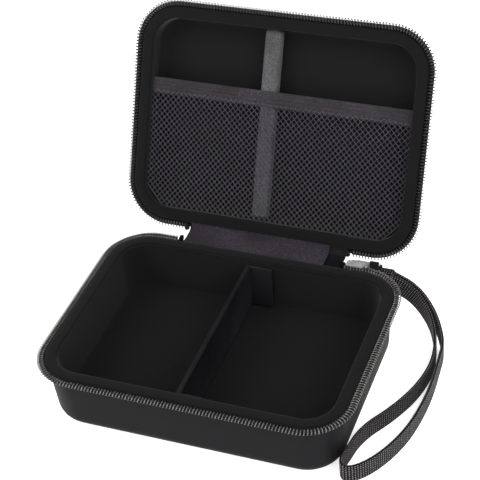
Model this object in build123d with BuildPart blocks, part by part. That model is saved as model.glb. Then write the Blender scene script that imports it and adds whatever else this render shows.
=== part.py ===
"""Zippered, moulded storage case with a divided base and a mesh pocket, its lid open.

Millimetres. The origin is the centre of the base's underside, +X to the right, +Y to the
hinge at the back, +Z up. Each half has its own plane in the rim, where the two halves meet,
and depths are measured from that plane into the half.
"""

from build123d import *
from math import cos, radians, sin, sqrt, tan
import os

# Rim: the outer edge of the zip, seen from above
RIM_WIDTH = 160.0
RIM_DEPTH = 120.0
RIM_RADIUS = 24.0

# Halves, measured from the plane in which they meet
BASE_HEIGHT = 36.0
LID_HEIGHT = 18.0
OPEN_ANGLE = 115.5
CLOSED_GAP = 1.2

# Moulded laminate: coated cloth outside, foam, brushed lining inside
COVER = 1.2
FOAM = 2.8
LINING = 1.0
BASE_FLOOR_FOAM = 5.0
WALL_INSET = 5.0
DRAFT = 3.0
BASE_EDGE_RADIUS = 7.5
LID_EDGE_RADIUS = 9.0

# Zip, from its outer edge inwards
COIL_WIDTH = 3.3
COIL_THICKNESS = 2.0
COIL_ROUNDING = 0.6
TAPE_THICKNESS = 0.8
TAPE_SETBACK = 0.4
BINDING_INSET = 4.6
BINDING_THICKNESS = 1.8
BINDING_ROUNDING = 0.7
STOP_LENGTH = 1.9
STOP_GAP = 0.3

# Cloth hinge along the back
HINGE_WIDTH = 86.0
HINGE_SETBACK = 2.1
HINGE_DROP = 2.2
INNER_PANEL_LEFT_MARGIN = 1.0
INNER_PANEL_RIGHT_MARGIN = 9.0
CLOTH_EASE = 0.05

# Lid: padded rib and mesh pocket
RIB_X = -6.5
RIB_WIDTH = 9.0
RIB_FACE_DEPTH = 5.0
RIB_COVER = 0.8
RIB_ROUNDING = 1.6
NET_DEPTH = 4.0
NET_THICKNESS = 0.5
NET_PITCH_X = 8.4
NET_PITCH_Y = 7.6
NET_STRAND = 1.3
BAND_WIDTH = 8.0
BAND_THICKNESS = 0.9
BAND_FROM_FRONT = 42.0
SEAM_WIDTH = 2.4
SEAM_THICKNESS = 0.4

# Base: divider with a flap folded back at each end, held by hook tape
DIVIDER_X = -3.3
DIVIDER_THICKNESS = 2.4
DIVIDER_BELOW_RIM = 3.0
DIVIDER_BOARD = 1.0
DIVIDER_HEM = 2.0
DIVIDER_CORNER = 5.0
FLAP_WIDTH = 14.0
FLAP_THICKNESS = 1.6
FLAP_FOOT = 9.0
HOOK_THICKNESS = 0.9
HOOK_MARGIN = 1.5
SLIDE_CLEARANCE = 0.3

# Zip slider and its pull
SLIDER_LENGTH = 9.0
SLIDER_PLATE = 0.7
SLIDER_BOTTOM = 1.2
SLIDER_WEB = 1.2
SLIDER_REACH = 3.0
SLIDER_CLEARANCE = 0.2
SLIDER_PARK_GAP = 0.4
CROWN_LENGTH = 6.6
CROWN_LEG = 1.2
CROWN_BAR = 1.0
CROWN_WIDTH = 1.6
CROWN_ROUNDING = 0.9
PULL_PIN = 1.1
PULL_CLEARANCE = 0.25
PULL_ARM = 1.2
PULL_LENGTH = 12.0
PULL_END_BAR = 1.6
PULL_SLOT = 2.8
PULL_WINDOW_REACH = 3.8

# Wrist strap: flat webbing that stands on its edge
STRAP_WIDTH = 10.0
STRAP_THICKNESS = 1.5
STRAP_LAID = 5.05
TAB_LENGTH = 8.5
TAB_THICKNESS = 5.2
TAB_ROUNDING = 0.6
TAB_LOOP_WIDTH = 3.2
TAB_LOOP_THICKNESS = 0.8

# Worked out from the sizes above
half_gap = CLOSED_GAP / 2
coil_foot = half_gap + COIL_THICKNESS
shell_edge = coil_foot + TAPE_THICKNESS
well_inset = WALL_INSET + COVER + FOAM + LINING
lid_floor = LID_HEIGHT - COVER - FOAM - LINING
base_floor_z = COVER + BASE_FLOOR_FOAM + LINING
draft_slope = tan(radians(DRAFT))
hinge_y = RIM_DEPTH / 2 + HINGE_SETBACK
lean = radians(OPEN_ANGLE)
fold_shift = HINGE_DROP * tan(lean / 2)
well_back = RIM_DEPTH / 2 - well_inset
divider_top = BASE_HEIGHT - DIVIDER_BELOW_RIM

# Planes of the two halves: local Z runs into the half, local Y runs to the hinge
BASE_PLANE = Plane(origin=(0, 0, BASE_HEIGHT), x_dir=(-1, 0, 0), z_dir=(0, 0, -1))
LID_PLANE = Plane(
    origin=(
        0,
        hinge_y - hinge_y * cos(lean) + HINGE_DROP * sin(lean),
        BASE_HEIGHT - HINGE_DROP + hinge_y * sin(lean) + HINGE_DROP * cos(lean),
    ),
    x_dir=(1, 0, 0),
    z_dir=(0, sin(lean), cos(lean)),
)


def save(piece, name):
    """Labels a finished piece and writes it to its own file."""
    piece.part.label = name
    export_step(piece.part, f"parts/{name}.step")


def half_axis(plane):
    """The direction into a half, for choosing edges by their depth."""
    return Axis(plane.origin, plane.z_dir)


def rim_outline(inset):
    """The rim's rounded outline, drawn in by an inset."""
    RectangleRounded(RIM_WIDTH - 2 * inset, RIM_DEPTH - 2 * inset, RIM_RADIUS - inset)


def moulded_block(plane, inset, height, edge_radius):
    """A solid of the half's outer form: drafted sides and a rounded edge at its far face."""
    taper = (height - shell_edge) * draft_slope
    with BuildPart() as block:
        with BuildSketch(plane.offset(shell_edge)):
            rim_outline(inset)
        with BuildSketch(plane.offset(height)):
            rim_outline(inset + taper)
        loft(ruled=True)
        fillet(block.edges().group_by(half_axis(plane))[-1], edge_radius)
    return block.part


def half_blocks(plane, height, edge_radius, floor_foam):
    """The nested forms between which the cover, the foam and the lining lie, from outside in."""
    blocks = [moulded_block(plane, WALL_INSET, height, edge_radius)]
    side_in = 0.0
    floor_in = 0.0
    for side_layer, floor_layer in ((COVER, COVER), (FOAM, floor_foam), (LINING, LINING)):
        side_in += side_layer
        floor_in += floor_layer
        blocks.append(
            moulded_block(plane, WALL_INSET + side_in, height - floor_in, edge_radius - side_in)
        )
    return blocks


def layer_between(outer, inner, name):
    """One layer of the laminate."""
    with BuildPart() as layer:
        add(outer)
        add(inner, mode=Mode.SUBTRACT)
    save(layer, name)


def rim_ring(plane, outer_inset, inner_inset, near, far, open_half_width):
    """A flat ring in the rim, left open over the hinge where a half width is given."""
    with BuildPart() as ring:
        with BuildSketch(plane.offset(near)):
            rim_outline(outer_inset)
            with BuildSketch(mode=Mode.SUBTRACT):
                rim_outline(inner_inset)
            if open_half_width:
                with Locations((0, RIM_DEPTH / 2)):
                    Rectangle(2 * open_half_width, RIM_DEPTH, mode=Mode.SUBTRACT)
        extrude(amount=far - near)
    return ring.part


def zip_half(plane, half_name):
    """The tape, the coil, the end stops and the binding of one half of the zip."""
    tape_end = HINGE_WIDTH / 2 + CLOTH_EASE
    coil_end = HINGE_WIDTH / 2 + STOP_LENGTH + 2 * STOP_GAP
    with BuildPart() as tape:
        add(rim_ring(plane, TAPE_SETBACK, well_inset, coil_foot, shell_edge, tape_end))
    save(tape, half_name + "_zip_tape")

    with BuildPart() as coil:
        add(rim_ring(plane, 0, COIL_WIDTH, half_gap, coil_foot, coil_end))
        fillet(coil.edges().group_by(half_axis(plane))[0], COIL_ROUNDING)
    save(coil, half_name + "_zip_coil")

    with BuildPart() as stops:
        with BuildSketch(plane.offset(half_gap)):
            stop_x = HINGE_WIDTH / 2 + STOP_GAP + STOP_LENGTH / 2
            stop_y = RIM_DEPTH / 2 - COIL_WIDTH / 2
            with Locations((stop_x, stop_y), (-stop_x, stop_y)):
                RectangleRounded(STOP_LENGTH, COIL_WIDTH, STOP_LENGTH / 4)
        extrude(amount=COIL_THICKNESS)
    save(stops, half_name + "_zip_stops")

    with BuildPart() as binding:
        near = coil_foot - BINDING_THICKNESS
        add(rim_ring(plane, BINDING_INSET, well_inset, near, coil_foot, 0))
        fillet(binding.edges().group_by(half_axis(plane))[0], BINDING_ROUNDING)
    save(binding, half_name + "_rim_binding")


def hinge_panel(near, far, run_start, left, right, name):
    """A strip of cloth that runs off the base's rim, turns where the two planes cross and runs up the lid."""
    turn = 180 - OPEN_ANGLE
    fold_y = hinge_y + fold_shift
    lid_run = hinge_y - fold_shift - run_start
    along_lid = Vector(cos(radians(turn)), sin(radians(turn)))
    with BuildPart() as panel:
        with BuildSketch(Plane.YZ.offset(left)):
            with BuildLine():
                under = Line((run_start, BASE_HEIGHT - near), (fold_y, BASE_HEIGHT - near))
                inner_arc = CenterArc((fold_y, BASE_HEIGHT), near, -90, turn)
                inner_end = inner_arc @ 1 + along_lid * lid_run
                outer_arc = CenterArc((fold_y, BASE_HEIGHT), far, -90, turn)
                outer_end = outer_arc @ 1 + along_lid * lid_run
                Line(inner_arc @ 1, inner_end)
                Line(inner_end, outer_end)
                Line(outer_end, outer_arc @ 1)
                over = Line((fold_y, BASE_HEIGHT - far), (run_start, BASE_HEIGHT - far))
                Line(over @ 1, under @ 0)
            make_face()
        extrude(amount=right - left)
    save(panel, name)


def lid_rib(cavity):
    """The padded rib down the lid: a foam core and the cloth wrapped over it."""
    rib_length = 2 * well_back
    with BuildPart() as wrapped:
        with BuildSketch(LID_PLANE.offset(RIB_FACE_DEPTH)):
            with Locations((RIB_X, 0)):
                Rectangle(RIB_WIDTH, rib_length)
        extrude(amount=lid_floor - RIB_FACE_DEPTH)
        face_edges = wrapped.edges().group_by(half_axis(LID_PLANE))[0].filter_by(Axis.X, reverse=True)
        fillet(face_edges, RIB_ROUNDING)
        add(cavity, mode=Mode.INTERSECT)
    with BuildPart() as core:
        with BuildSketch(LID_PLANE.offset(RIB_FACE_DEPTH + RIB_COVER)):
            with Locations((RIB_X, 0)):
                Rectangle(RIB_WIDTH - 2 * RIB_COVER, rib_length)
        extrude(amount=lid_floor - RIB_FACE_DEPTH - RIB_COVER)
        face_edges = core.edges().group_by(half_axis(LID_PLANE))[0].filter_by(Axis.X, reverse=True)
        fillet(face_edges, RIB_ROUNDING - RIB_COVER)
        add(cavity, mode=Mode.INTERSECT)
    with BuildPart() as rib_cover:
        add(wrapped.part)
        add(core.part, mode=Mode.SUBTRACT)
    save(core, "lid_rib_core")
    save(rib_cover, "lid_rib_cover")


def net_holes(net_front):
    """Centres of the net's gaps, in staggered rows, all inside the pocket's rounded outline."""
    half_width = RIM_WIDTH / 2 - well_inset - NET_PITCH_X / 2 - NET_STRAND
    back = well_back - NET_PITCH_Y / 2 - NET_STRAND
    corner = RIM_RADIUS - well_inset
    corner_x = RIM_WIDTH / 2 - well_inset - corner
    corner_y = well_back - corner
    reach = corner - NET_PITCH_X / 2 - NET_STRAND
    columns = int(RIM_WIDTH / NET_PITCH_X)
    rows = int(2 * RIM_DEPTH / NET_PITCH_Y)
    centres = []
    for row in range(rows):
        y = net_front + NET_PITCH_Y / 2 + row * NET_PITCH_Y / 2
        for column in range(-columns, columns + 1):
            x = (column + (row % 2) / 2) * NET_PITCH_X
            beyond = max(abs(x) - corner_x, 0), max(y - corner_y, 0)
            inside_corner = sqrt(beyond[0] ** 2 + beyond[1] ** 2) <= max(reach, 0)
            if abs(x) <= half_width and y <= back and inside_corner:
                centres.append((x, y))
    return centres


def lid_pocket(cavity):
    """The mesh pocket: a stretched net, the elastic along its mouth and the seam tape round its edge."""
    band_front = -RIM_DEPTH / 2 + BAND_FROM_FRONT
    net_front = band_front + BAND_WIDTH
    net_length = well_back - net_front
    net_middle = net_front + net_length / 2
    full_width = RIM_WIDTH - 2 * well_inset
    with BuildPart() as elastic:
        with BuildSketch(LID_PLANE.offset(NET_DEPTH)):
            with Locations((0, band_front + BAND_WIDTH / 2)):
                Rectangle(full_width, BAND_WIDTH)
        extrude(amount=BAND_THICKNESS)
        add(cavity, mode=Mode.INTERSECT)
    save(elastic, "pocket_elastic")

    hole_half_x = NET_PITCH_X / 2 - NET_STRAND / 2
    hole_half_y = NET_PITCH_Y / 2 - NET_STRAND / 2
    with BuildPart() as net:
        with BuildSketch(LID_PLANE.offset(NET_DEPTH)):
            with Locations((0, net_middle)):
                Rectangle(full_width, net_length)
            with Locations(*net_holes(net_front)):
                Polygon(
                    (-hole_half_x, 0),
                    (0, -hole_half_y),
                    (hole_half_x, 0),
                    (0, hole_half_y),
                    mode=Mode.SUBTRACT,
                )
        extrude(amount=NET_THICKNESS)
        add(cavity, mode=Mode.INTERSECT)
    save(net, "pocket_mesh")

    with BuildPart() as seam:
        with BuildSketch(LID_PLANE.offset(NET_DEPTH + NET_THICKNESS)):
            with Locations((0, net_middle + BAND_THICKNESS / 2)):
                Rectangle(full_width, net_length - BAND_THICKNESS)
            with BuildSketch(mode=Mode.SUBTRACT):
                rim_outline(well_inset + SEAM_WIDTH)
        extrude(amount=SEAM_THICKNESS)
        add(cavity, mode=Mode.INTERSECT)
    save(seam, "pocket_seam_tape")


def base_divider():
    """The divider: a board inside a cover whose ends fold back as flaps, and their hook tapes."""
    floor = base_floor_z + SLIDE_CLEARANCE
    hook_gap = SLIDE_CLEARANCE / cos(radians(DRAFT))

    def wall_y(height):
        """Where the base's lining stands at a height above the floor."""
        return well_back - (BASE_HEIGHT - shell_edge - height) * draft_slope

    def end_face(height, setback):
        return wall_y(height) - hook_gap - setback

    panel_left = DIVIDER_X - DIVIDER_THICKNESS / 2
    flap_end = panel_left + FLAP_WIDTH
    top_y = end_face(divider_top, HOOK_THICKNESS)
    foot_y = end_face(FLAP_FOOT, HOOK_THICKNESS)
    low_y = end_face(floor, HOOK_THICKNESS) - DIVIDER_CORNER

    with BuildPart() as board:
        with BuildSketch(Plane.YZ.offset(DIVIDER_X - DIVIDER_BOARD / 2)):
            Polygon(
                (top_y - DIVIDER_HEM, divider_top - DIVIDER_HEM),
                (-top_y + DIVIDER_HEM, divider_top - DIVIDER_HEM),
                (-foot_y + DIVIDER_HEM, FLAP_FOOT + DIVIDER_HEM),
                (-low_y + DIVIDER_HEM, floor + DIVIDER_HEM),
                (low_y - DIVIDER_HEM, floor + DIVIDER_HEM),
                (foot_y - DIVIDER_HEM, FLAP_FOOT + DIVIDER_HEM),
                align=None,
            )
        extrude(amount=DIVIDER_BOARD)
    save(board, "divider_board")

    with BuildPart() as cover:
        with BuildSketch(Plane.YZ.offset(panel_left)):
            Polygon(
                (top_y, divider_top),
                (-top_y, divider_top),
                (-foot_y, FLAP_FOOT),
                (-low_y, floor),
                (low_y, floor),
                (foot_y, FLAP_FOOT),
                align=None,
            )
        extrude(amount=DIVIDER_THICKNESS)
        for side in (1, -1):
            with BuildSketch(Plane.YZ.offset(panel_left)):
                Polygon(
                    (side * top_y, divider_top),
                    (side * foot_y, FLAP_FOOT),
                    (side * (foot_y - FLAP_THICKNESS), FLAP_FOOT),
                    (side * (top_y - FLAP_THICKNESS), divider_top),
                    align=None,
                )
            extrude(amount=FLAP_WIDTH)
        add(board.part, mode=Mode.SUBTRACT)
    save(cover, "divider_cover")

    for side, name in ((1, "divider_hook_back"), (-1, "divider_hook_front")):
        with BuildPart() as hook:
            hook_top = divider_top - HOOK_MARGIN
            hook_foot = FLAP_FOOT + HOOK_MARGIN
            with BuildSketch(Plane.YZ.offset(panel_left + HOOK_MARGIN)):
                Polygon(
                    (side * end_face(hook_top, 0), hook_top),
                    (side * end_face(hook_foot, 0), hook_foot),
                    (side * end_face(hook_foot, HOOK_THICKNESS), hook_foot),
                    (side * end_face(hook_top, HOOK_THICKNESS), hook_top),
                    align=None,
                )
            extrude(amount=flap_end - panel_left - 2 * HOOK_MARGIN)
        save(hook, name)


# Slider and pull: the slider rides on the straight run of the base's coil, right of the hinge
slider_left = HINGE_WIDTH / 2 + STOP_LENGTH + 2 * STOP_GAP + SLIDER_PARK_GAP
slider_middle = slider_left + SLIDER_LENGTH / 2
coil_top = BASE_HEIGHT - half_gap
tape_under = BASE_HEIGHT - shell_edge
web_face = RIM_DEPTH / 2 + SLIDER_CLEARANCE + SLIDER_WEB
pin_y = web_face + PULL_CLEARANCE + PULL_PIN / 2
crown_y = pin_y + PULL_PIN / 2 + PULL_CLEARANCE
slider_foot = tape_under - SLIDER_CLEARANCE - SLIDER_BOTTOM
slider_head = coil_top + SLIDER_CLEARANCE + SLIDER_PLATE
crown_z = (slider_foot + slider_head) / 2
pull_half_height = CROWN_WIDTH / 2 + PULL_CLEARANCE + PULL_ARM
tab_start_x = slider_middle + PULL_LENGTH - PULL_END_BAR - PULL_SLOT
strap_start_x = tab_start_x + TAB_LENGTH


def zip_slider():
    """The slider: a channel round the coil and tape, and the crown that holds the pull."""
    with BuildPart() as body:
        with BuildSketch(Plane.YZ.offset(slider_left)):
            inner_face = RIM_DEPTH / 2 + SLIDER_CLEARANCE
            with BuildLine():
                Polyline(
                    (web_face, slider_foot),
                    (web_face, slider_head),
                    (RIM_DEPTH / 2 - SLIDER_REACH, slider_head),
                    (RIM_DEPTH / 2 - SLIDER_REACH, slider_head - SLIDER_PLATE),
                    (inner_face, slider_head - SLIDER_PLATE),
                    (inner_face, slider_foot + SLIDER_BOTTOM),
                    (RIM_DEPTH / 2 - SLIDER_REACH, slider_foot + SLIDER_BOTTOM),
                    (RIM_DEPTH / 2 - SLIDER_REACH, slider_foot),
                    close=True,
                )
            make_face()
        extrude(amount=SLIDER_LENGTH)
        outer_corners = body.edges().filter_by(Axis.X).group_by(Axis.Y)[-1]
        fillet(outer_corners, SLIDER_PLATE / 2)
        nose = body.edges().filter_by(Axis.Z).group_by(Axis.Y)[0]
        fillet(nose, SLIDER_REACH / 3)
    save(body, "slider_body")

    with BuildPart() as crown:
        crown_left = slider_middle - CROWN_LENGTH / 2
        with BuildSketch(Plane.XY.offset(crown_z - CROWN_WIDTH / 2)):
            with BuildLine():
                Polyline(
                    (crown_left, web_face),
                    (crown_left, crown_y + CROWN_BAR),
                    (crown_left + CROWN_LENGTH, crown_y + CROWN_BAR),
                    (crown_left + CROWN_LENGTH, web_face),
                    (crown_left + CROWN_LENGTH - CROWN_LEG, web_face),
                    (crown_left + CROWN_LENGTH - CROWN_LEG, crown_y),
                    (crown_left + CROWN_LEG, crown_y),
                    (crown_left + CROWN_LEG, web_face),
                    close=True,
                )
            make_face()
        extrude(amount=CROWN_WIDTH)
        outer_corners = crown.edges().filter_by(Axis.Z).group_by(Axis.Y)[-1]
        fillet(outer_corners, CROWN_ROUNDING)
    save(crown, "slider_crown")


def zip_pull():
    """The pull: a pin under the crown, two arms beside it and a plate with a slot for the strap."""
    window_half = CROWN_WIDTH / 2 + PULL_CLEARANCE
    pull_right = slider_middle + PULL_LENGTH
    window_right = slider_middle + PULL_WINDOW_REACH
    with BuildPart() as pull:
        with BuildSketch(Plane.XZ.offset(-(pin_y + PULL_PIN / 2))):
            with Locations(((slider_middle + pull_right) / 2, crown_z)):
                RectangleRounded(PULL_LENGTH, 2 * pull_half_height, PULL_PIN / 2)
            with Locations(((slider_middle + PULL_PIN / 2 + window_right) / 2, crown_z)):
                Rectangle(
                    window_right - slider_middle - PULL_PIN / 2, 2 * window_half, mode=Mode.SUBTRACT
                )
            slot_middle = pull_right - PULL_END_BAR - PULL_SLOT / 2
            with Locations((slot_middle, crown_z)):
                RectangleRounded(
                    PULL_SLOT,
                    TAB_LOOP_WIDTH + 2 * PULL_CLEARANCE,
                    PULL_SLOT / 5,
                    mode=Mode.SUBTRACT,
                )
        extrude(amount=PULL_PIN)
        with BuildSketch(Plane.XY.offset(crown_z - pull_half_height + PULL_PIN / 2)):
            with Locations((slider_middle, pin_y)):
                Circle(PULL_PIN / 2)
        extrude(amount=2 * pull_half_height - PULL_PIN)
    save(pull, "zip_pull")


# The strap's route, from the pull along the outer strand, round the loop's end and back
STRAP_ROUTE = [
    (66.6, 67.4, 23.7),
    (70.5, 66.8, 22.4),
    (76.7, 66.5, 19.6),
    (82.8, 64.5, 16.4),
    (88.2, 60.8, 13.0),
    (93.0, 55.9, 9.8),
    (96.9, 49.6, 7.2),
    (100.3, 41.6, 5.6),
    (100.9, 29.9, STRAP_LAID),
    (101.7, 17.0, STRAP_LAID),
    (101.5, 4.6, STRAP_LAID),
    (100.5, -6.1, STRAP_LAID),
    (98.7, -17.0, STRAP_LAID),
    (95.5, -27.4, STRAP_LAID),
    (91.1, -37.0, STRAP_LAID),
    (86.0, -44.8, STRAP_LAID),
    (80.8, -49.6, STRAP_LAID),
    (76.6, -50.2, STRAP_LAID),
    (74.2, -46.9, STRAP_LAID),
    (74.7, -41.0, STRAP_LAID),
    (75.8, -35.6, STRAP_LAID),
    (76.6, -29.6, STRAP_LAID),
    (80.0, -20.4, STRAP_LAID),
    (85.7, -11.5, STRAP_LAID),
    (90.5, -2.2, STRAP_LAID),
    (94.3, 7.1, STRAP_LAID),
    (96.9, 17.1, STRAP_LAID),
    (98.1, 28.0, STRAP_LAID),
    (96.7, 40.3, 5.6),
    (94.1, 48.4, 7.2),
    (90.8, 54.3, 9.8),
    (86.5, 58.8, 13.0),
    (81.6, 62.1, 16.4),
    (76.3, 63.9, 19.6),
    (70.4, 64.0, 22.4),
    (66.6, 63.9, 23.7),
]


def route_radii(points):
    """One radius for each corner: 0.45 of the shorter run over the tangent of half the turn."""
    radii = []
    for before, corner, after in zip(points, points[1:], points[2:]):
        run_in = Vector(*corner) - Vector(*before)
        run_out = Vector(*after) - Vector(*corner)
        half_turn = radians(run_in.get_angle(run_out)) / 2
        radii.append(0.45 * min(run_in.length, run_out.length) / tan(half_turn))
    return radii


def wrist_strap():
    """The webbing loop: a ribbon along the route, cut to its sloping sides, and its sewn end."""
    plan = [(x, y) for x, y, z in STRAP_ROUTE]
    radii = route_radii([(x, y, 0) for x, y in plan])
    print("strap radii, mm:", [round(r, 1) for r in radii])
    last_down = next(i for i, point in enumerate(STRAP_ROUTE) if point[2] == STRAP_LAID)
    descent = [((x - y) / sqrt(2), z) for x, y, z in STRAP_ROUTE[: last_down + 1]]
    reach = 2 * RIM_WIDTH
    centre_line = [(-reach, descent[0][1]), *descent, (reach, descent[-1][1])]
    side_plane = Plane(origin=(0, 0, 0), x_dir=(1, -1, 0), z_dir=(-1, -1, 0))
    sweep_height = 2 * (BASE_HEIGHT + STRAP_WIDTH)

    def half_height(index):
        """Half the webbing's width, measured upright where its line slopes."""
        before = centre_line[max(index - 1, 0)]
        after = centre_line[min(index + 1, len(centre_line) - 1)]
        slope = (after[1] - before[1]) / (after[0] - before[0])
        return STRAP_WIDTH / 2 * sqrt(1 + slope**2)

    upper = [(w, z + half_height(i)) for i, (w, z) in enumerate(centre_line)]
    lower = [(w, max(z - half_height(i), 0)) for i, (w, z) in enumerate(centre_line)]
    with BuildPart() as strap:
        with BuildLine(Plane.XY) as path:
            FilletPolyline(*plan, radius=radii)
        with BuildSketch(Plane(origin=path.line @ 0, z_dir=path.line % 0, x_dir=(0, 0, 1))):
            Rectangle(sweep_height, STRAP_THICKNESS)
        sweep()
        with BuildSketch(side_plane):
            with BuildLine():
                Polyline(*upper, *reversed(lower), close=True)
            make_face()
        extrude(amount=reach, both=True, mode=Mode.INTERSECT)
    save(strap, "wrist_strap")
    length = path.wires()[0].length
    print("strap plan length, mm:", round(length, 1), "volume:", round(strap.part.volume))

    tab_front = pin_y + PULL_PIN / 2 + PULL_CLEARANCE
    tab_back = tab_front + TAB_THICKNESS
    tab_top = STRAP_ROUTE[0][2] + STRAP_WIDTH / 2
    bar_right = slider_middle + PULL_LENGTH
    slot_left = bar_right - PULL_END_BAR - PULL_SLOT
    neck_left = slot_left + PULL_CLEARANCE
    loop_right = bar_right + PULL_CLEARANCE + TAB_LOOP_THICKNESS
    with BuildPart() as tab:
        with BuildSketch(Plane.XY.offset(tab_top - STRAP_WIDTH)):
            with Locations((strap_start_x - TAB_LENGTH / 2, (tab_front + tab_back) / 2)):
                RectangleRounded(TAB_LENGTH, TAB_THICKNESS, TAB_ROUNDING)
        extrude(amount=STRAP_WIDTH)
        with BuildSketch(Plane.XZ.offset(-tab_front)):
            neck_height = crown_z + TAB_LOOP_WIDTH / 2 - tab_top
            with Locations(((neck_left + loop_right) / 2, tab_top + neck_height / 2)):
                Rectangle(loop_right - neck_left, neck_height)
        extrude(amount=-TAB_LOOP_THICKNESS)
        with BuildSketch(Plane.XY.offset(crown_z - TAB_LOOP_WIDTH / 2)):
            loop_front = pin_y - PULL_PIN / 2 - PULL_CLEARANCE - TAB_LOOP_THICKNESS
            with BuildLine():
                Polyline(
                    (loop_right, tab_front + TAB_LOOP_THICKNESS),
                    (loop_right, loop_front),
                    (neck_left, loop_front),
                    (neck_left, tab_front + TAB_LOOP_THICKNESS),
                    (neck_left + TAB_LOOP_THICKNESS, tab_front + TAB_LOOP_THICKNESS),
                    (neck_left + TAB_LOOP_THICKNESS, loop_front + TAB_LOOP_THICKNESS),
                    (bar_right + PULL_CLEARANCE, loop_front + TAB_LOOP_THICKNESS),
                    (bar_right + PULL_CLEARANCE, tab_front + TAB_LOOP_THICKNESS),
                    close=True,
                )
            make_face()
        extrude(amount=TAB_LOOP_WIDTH)
    save(tab, "strap_tab")


os.makedirs("parts", exist_ok=True)

base_blocks = half_blocks(BASE_PLANE, BASE_HEIGHT, BASE_EDGE_RADIUS, BASE_FLOOR_FOAM)
lid_blocks = half_blocks(LID_PLANE, LID_HEIGHT, LID_EDGE_RADIUS, FOAM)
for half, blocks in (("base", base_blocks), ("lid", lid_blocks)):
    layer_between(blocks[0], blocks[1], half + "_outer_cover")
    layer_between(blocks[1], blocks[2], half + "_shell")
    layer_between(blocks[2], blocks[3], half + "_lining")
zip_half(BASE_PLANE, "base")
zip_half(LID_PLANE, "lid")
hinge_panel(
    coil_foot + CLOTH_EASE,
    shell_edge - CLOTH_EASE,
    well_back,
    -HINGE_WIDTH / 2,
    HINGE_WIDTH / 2,
    "hinge_outer_panel",
)
hinge_panel(
    coil_foot - TAPE_THICKNESS,
    coil_foot,
    RIM_DEPTH / 2 - BINDING_INSET + CLOTH_EASE,
    -HINGE_WIDTH / 2 + INNER_PANEL_LEFT_MARGIN,
    HINGE_WIDTH / 2 - INNER_PANEL_RIGHT_MARGIN,
    "hinge_inner_panel",
)
lid_rib(lid_blocks[3])
lid_pocket(lid_blocks[3])
base_divider()
zip_slider()
zip_pull()
wrist_strap()
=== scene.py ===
"""Looks of the zippered storage case: moulded halves, coil zip, mesh pocket, divider, wrist strap.

Sizes are in millimetres and are turned to metres where a piece is made. Each half is made in its
own frame, with depth measured from the plane in which the halves meet, and then set in place.
"""

from math import atan2, cos, pi, radians, sin, tan

import bmesh
import bpy
from mathutils import Matrix, Vector


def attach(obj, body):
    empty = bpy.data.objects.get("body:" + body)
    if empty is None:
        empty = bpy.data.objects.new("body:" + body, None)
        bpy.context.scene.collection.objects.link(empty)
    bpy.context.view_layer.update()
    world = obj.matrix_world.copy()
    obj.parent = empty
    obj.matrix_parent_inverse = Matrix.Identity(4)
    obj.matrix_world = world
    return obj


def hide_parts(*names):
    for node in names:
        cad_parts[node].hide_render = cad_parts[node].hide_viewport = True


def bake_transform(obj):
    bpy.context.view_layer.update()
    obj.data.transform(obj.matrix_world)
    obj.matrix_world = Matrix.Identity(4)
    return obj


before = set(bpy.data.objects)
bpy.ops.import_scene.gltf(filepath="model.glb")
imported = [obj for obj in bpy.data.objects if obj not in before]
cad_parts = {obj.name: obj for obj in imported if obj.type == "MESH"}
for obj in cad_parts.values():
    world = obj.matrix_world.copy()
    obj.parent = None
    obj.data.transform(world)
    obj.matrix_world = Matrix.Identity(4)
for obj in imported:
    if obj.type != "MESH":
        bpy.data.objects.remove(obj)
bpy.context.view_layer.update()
bpy.ops.object.select_all(action="DESELECT")

MM = 0.001

# Sizes shared with the part's source
RIM = (160.0, 120.0)
RIM_RADIUS = 24.0
BASE_HEIGHT = 36.0
LID_HEIGHT = 18.0
OPEN_ANGLE = 115.5
HINGE_Y = 62.1
HINGE_DROP = 2.2
HINGE_HALF = 43.0
INNER_PANEL_LEFT_MARGIN = 1.0
INNER_PANEL_RIGHT_MARGIN = 9.0
WALL_INSET = 5.0
WELL_INSET = 10.0
COVER = 1.2
FOAM = 2.8
LINING = 1.0
DRAFT = 3.0
SHELL_EDGE = 3.4
EDGE_RADIUS = {"base": 7.5, "lid": 9.0}
FLOOR_FOAM = {"base": 5.0, "lid": FOAM}
HEIGHT = {"base": BASE_HEIGHT, "lid": LID_HEIGHT}
COIL_NEAR = 0.6
COIL_FAR = 2.6
BINDING_THICKNESS = 1.8
RIB_X = (-11.0, -2.0)
RIB_DEPTH = 5.0
NET_DEPTH = 4.0
BAND_Y = (-18.0, -10.0)
DIVIDER_X = (-4.5, -2.1)
DIVIDER_TOP = BASE_HEIGHT - 3.0
DIVIDER_FLOOR = 7.5
DIVIDER_CORNER = 5.0
DIVIDER_END_GAP = 1.2
FLAP_WIDTH = 14.0
FLAP_FOOT = 9.0
FLAP_THICKNESS = 1.6
STRAP_WIDTH = 10.0
STRAP_THICKNESS = 1.5

# Sizes of the dressed pieces alone
COIL_PITCH = 1.6
COIL_THREAD = 0.27
COIL_LEAN = 0.2
COIL_HALF_WIDTH = 1.9
COIL_HALF_HEIGHT = 1.0
COIL_CORD_RADIUS = 0.6
COIL_END_GAP = 2.5
TAPE_OUTER = 1.5
TAPE_ROUNDING = 0.2
TAPE_END_GAP = 0.05
BINDING_OUTER = 4.2
BINDING_ROUNDING = 1.3
CLOTH_CELL = 1.5
CLOTH_SLICE = 3.1
RIB_LENGTH = 99.4
RIB_ROUNDING = 2.0
NET_CELL = (2.9, 3.2)
NET_STRAND = 0.52
BAND_LENGTH = 139.6
BAND_HALF_THICKNESS = 0.45
NET_LIFT = 0.25
NET_LAP = 0.5
SEAM_TAPE_WIDTH = 2.3
SEAM_TAPE_THICKNESS = 0.4
SEAM_TAPE_GAP = 0.15
SEAM_TAPE_START = 0.5
HEM_WIDTH = 1.6
HEM_GROOVE_WIDTH = 0.35
HEM_GROOVE_DEPTH = 0.22
FLAP_STEP = 0.1
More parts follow.
